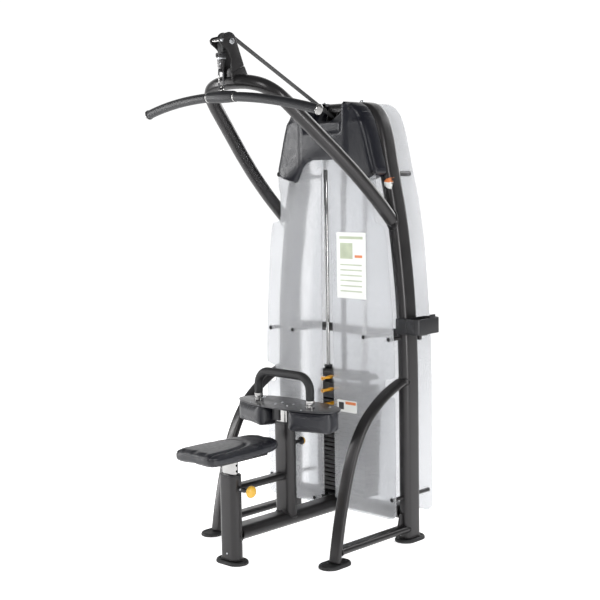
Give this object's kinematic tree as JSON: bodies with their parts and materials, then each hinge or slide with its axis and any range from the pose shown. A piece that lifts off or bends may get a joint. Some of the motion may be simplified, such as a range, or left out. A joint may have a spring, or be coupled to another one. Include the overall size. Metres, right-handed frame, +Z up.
{
  "type": "lat pulldown machine",
  "caption": "Selectorised lat pulldown machine with an arch frame, overhead looped arm, belt-driven wide bar, enclosed weight stack, sliding seat and sliding thigh pads.",
  "frame": {"origin": "on the floor under the middle of the machine", "axes": "+Z up, +Y from the seat towards the weight stack, +X to the seated user's right"},
  "size_m": [1.0574, 1.113, 2.254],
  "materials": {
    "frame_paint": "satin dark grey metallic powder coat",
    "chrome": "polished",
    "rubber": "matt moulded",
    "black_plastic": "semi-gloss black",
    "cover_plastic": "semi-gloss dark navy",
    "frosted_sheet": "frosted light grey sheet",
    "padding": "navy-black upholstery",
    "foam": "closed-cell foam grip",
    "plate_paint": "light grey metallic",
    "cast_plate": "black painted cast iron",
    "yellow_plastic": "glossy yellow",
    "amber_plastic": "glossy amber",
    "belt": "ribbed black belt"
  },
  "bodies": {
    "root": {"column_arch": "frame_paint", "seat_tube": "frame_paint", "base_beam": "frame_paint", "pad_upright": "frame_paint", "mid_brace": "frame_paint", "stack_cross_member": "frame_paint", "rear_cross_bar": "frame_paint", "left_leg": "frame_paint", "left_lower_brace": "frame_paint", "right_leg": "frame_paint", "right_lower_brace": "frame_paint", "seat_foot": "rubber", "left_leg_foot": "rubber", "left_column_foot": "rubber", "right_leg_foot": "rubber", "right_column_foot": "rubber", "overhead_arm": "frame_paint", "pulley_head": "frame_paint", "front_axle": "chrome", "rear_axle": "chrome", "belt_run": "belt", "belt_front": "belt", "belt_rear": "belt", "front_shroud": "frosted_sheet", "rear_shroud": "frosted_sheet", "head_cover": "cover_plastic", "accessory_tray": "black_plastic", "left_guide_rod": "chrome", "right_guide_rod": "chrome", "left_bumper": "rubber", "right_bumper": "rubber", "resting_plates": "cast_plate", "seat_collar": "black_plastic", "thigh_collar": "black_plastic"},
    "front_pulley": {"front_pulley": "black_plastic"},
    "rear_pulley": {"rear_pulley": "black_plastic"},
    "stack": {"head_plate": "black_plastic", "lifted_plate": "cast_plate", "selector_stem": "chrome", "lower_add_on_weight": "cast_plate", "upper_add_on_weight": "cast_plate"},
    "selector_pin": {"selector_pin": "amber_plastic"},
    "lower_lever": {"lower_add_on_lever": "amber_plastic"},
    "upper_lever": {"upper_add_on_lever": "amber_plastic"},
    "clamp": {"belt_clamp": "black_plastic"},
    "hook": {"snap_hook": "chrome"},
    "bar": {"lat_bar": "chrome", "bar_sleeve": "rubber", "left_grip": "rubber", "right_grip": "rubber"},
    "seat": {"seat_post": "chrome", "seat_pad": "padding"},
    "seat_pin": {"seat_pin": "yellow_plastic"},
    "thigh_pads": {"thigh_post": "chrome", "thigh_plate": "plate_paint", "left_thigh_pad": "padding", "right_thigh_pad": "padding", "handle_tube": "chrome", "handle_grip": "foam"},
    "thigh_pin": {"thigh_pin": "black_plastic"}
  },
  "joints": [
    {"name": "stack_lift", "type": "slide", "parent": "root", "child": "stack", "axis": [0, 0, 1], "range_m": [0, 0.93], "deforming": ["belt_rear"]},
    {"name": "bar_pull", "type": "slide", "parent": "root", "child": "clamp", "axis": [0, 0, -1], "range_m": [0, 0.93], "deforming": ["belt_front"]},
    {"name": "front_pulley_spin", "type": "hinge", "parent": "root", "child": "front_pulley", "pos_m": [0, -0.3035, 2.215], "axis": [1, 0, 0], "range_deg": [-60, 1565]},
    {"name": "rear_pulley_spin", "type": "hinge", "parent": "root", "child": "rear_pulley", "pos_m": [0, 0.3735, 1.853], "axis": [1, 0, 0], "range_deg": [-60, 1234]},
    {"name": "hook_swing", "type": "hinge", "parent": "clamp", "child": "hook", "pos_m": [0, -0.3385, 2.0955], "axis": [1, 0, 0], "range_deg": [-30, 4]},
    {"name": "bar_swivel", "type": "hinge", "parent": "hook", "child": "bar", "pos_m": [0, -0.3385, 2.024], "axis": [0, 0, 1], "range_deg": [-12, 12]},
    {"name": "seat_height", "type": "slide", "parent": "root", "child": "seat", "axis": [0, 0, 1], "range_m": [-0.05, 0.1]},
    {"name": "seat_pin_pull", "type": "slide", "parent": "root", "child": "seat_pin", "axis": [1, 0, 0], "range_m": [0, 0.012], "stiffness_N_per_m": 800, "springref_m": -0.002},
    {"name": "thigh_height", "type": "slide", "parent": "root", "child": "thigh_pads", "axis": [0, 0, 1], "range_m": [0, 0.15]},
    {"name": "thigh_pin_pull", "type": "slide", "parent": "root", "child": "thigh_pin", "axis": [0, 1, 0], "range_m": [0, 0.012], "stiffness_N_per_m": 800, "springref_m": -0.002},
    {"name": "selector_pin_pull", "type": "slide", "parent": "stack", "child": "selector_pin", "axis": [0, -1, 0], "range_m": [0, 0.13]},
    {"name": "lower_lever_pull", "type": "slide", "parent": "stack", "child": "lower_lever", "axis": [0, -1, 0], "range_m": [0, 0.02]},
    {"name": "upper_lever_pull", "type": "slide", "parent": "stack", "child": "upper_lever", "axis": [0, -1, 0], "range_m": [0, 0.02]}
  ],
  "couplings": [
    {"joint": "bar_pull", "follows": "stack_lift", "ratio": 1},
    {"joint": "front_pulley_spin", "follows": "stack_lift", "rad_per_m": 28.249},
    {"joint": "rear_pulley_spin", "follows": "stack_lift", "rad_per_m": 22.026}
  ]
}
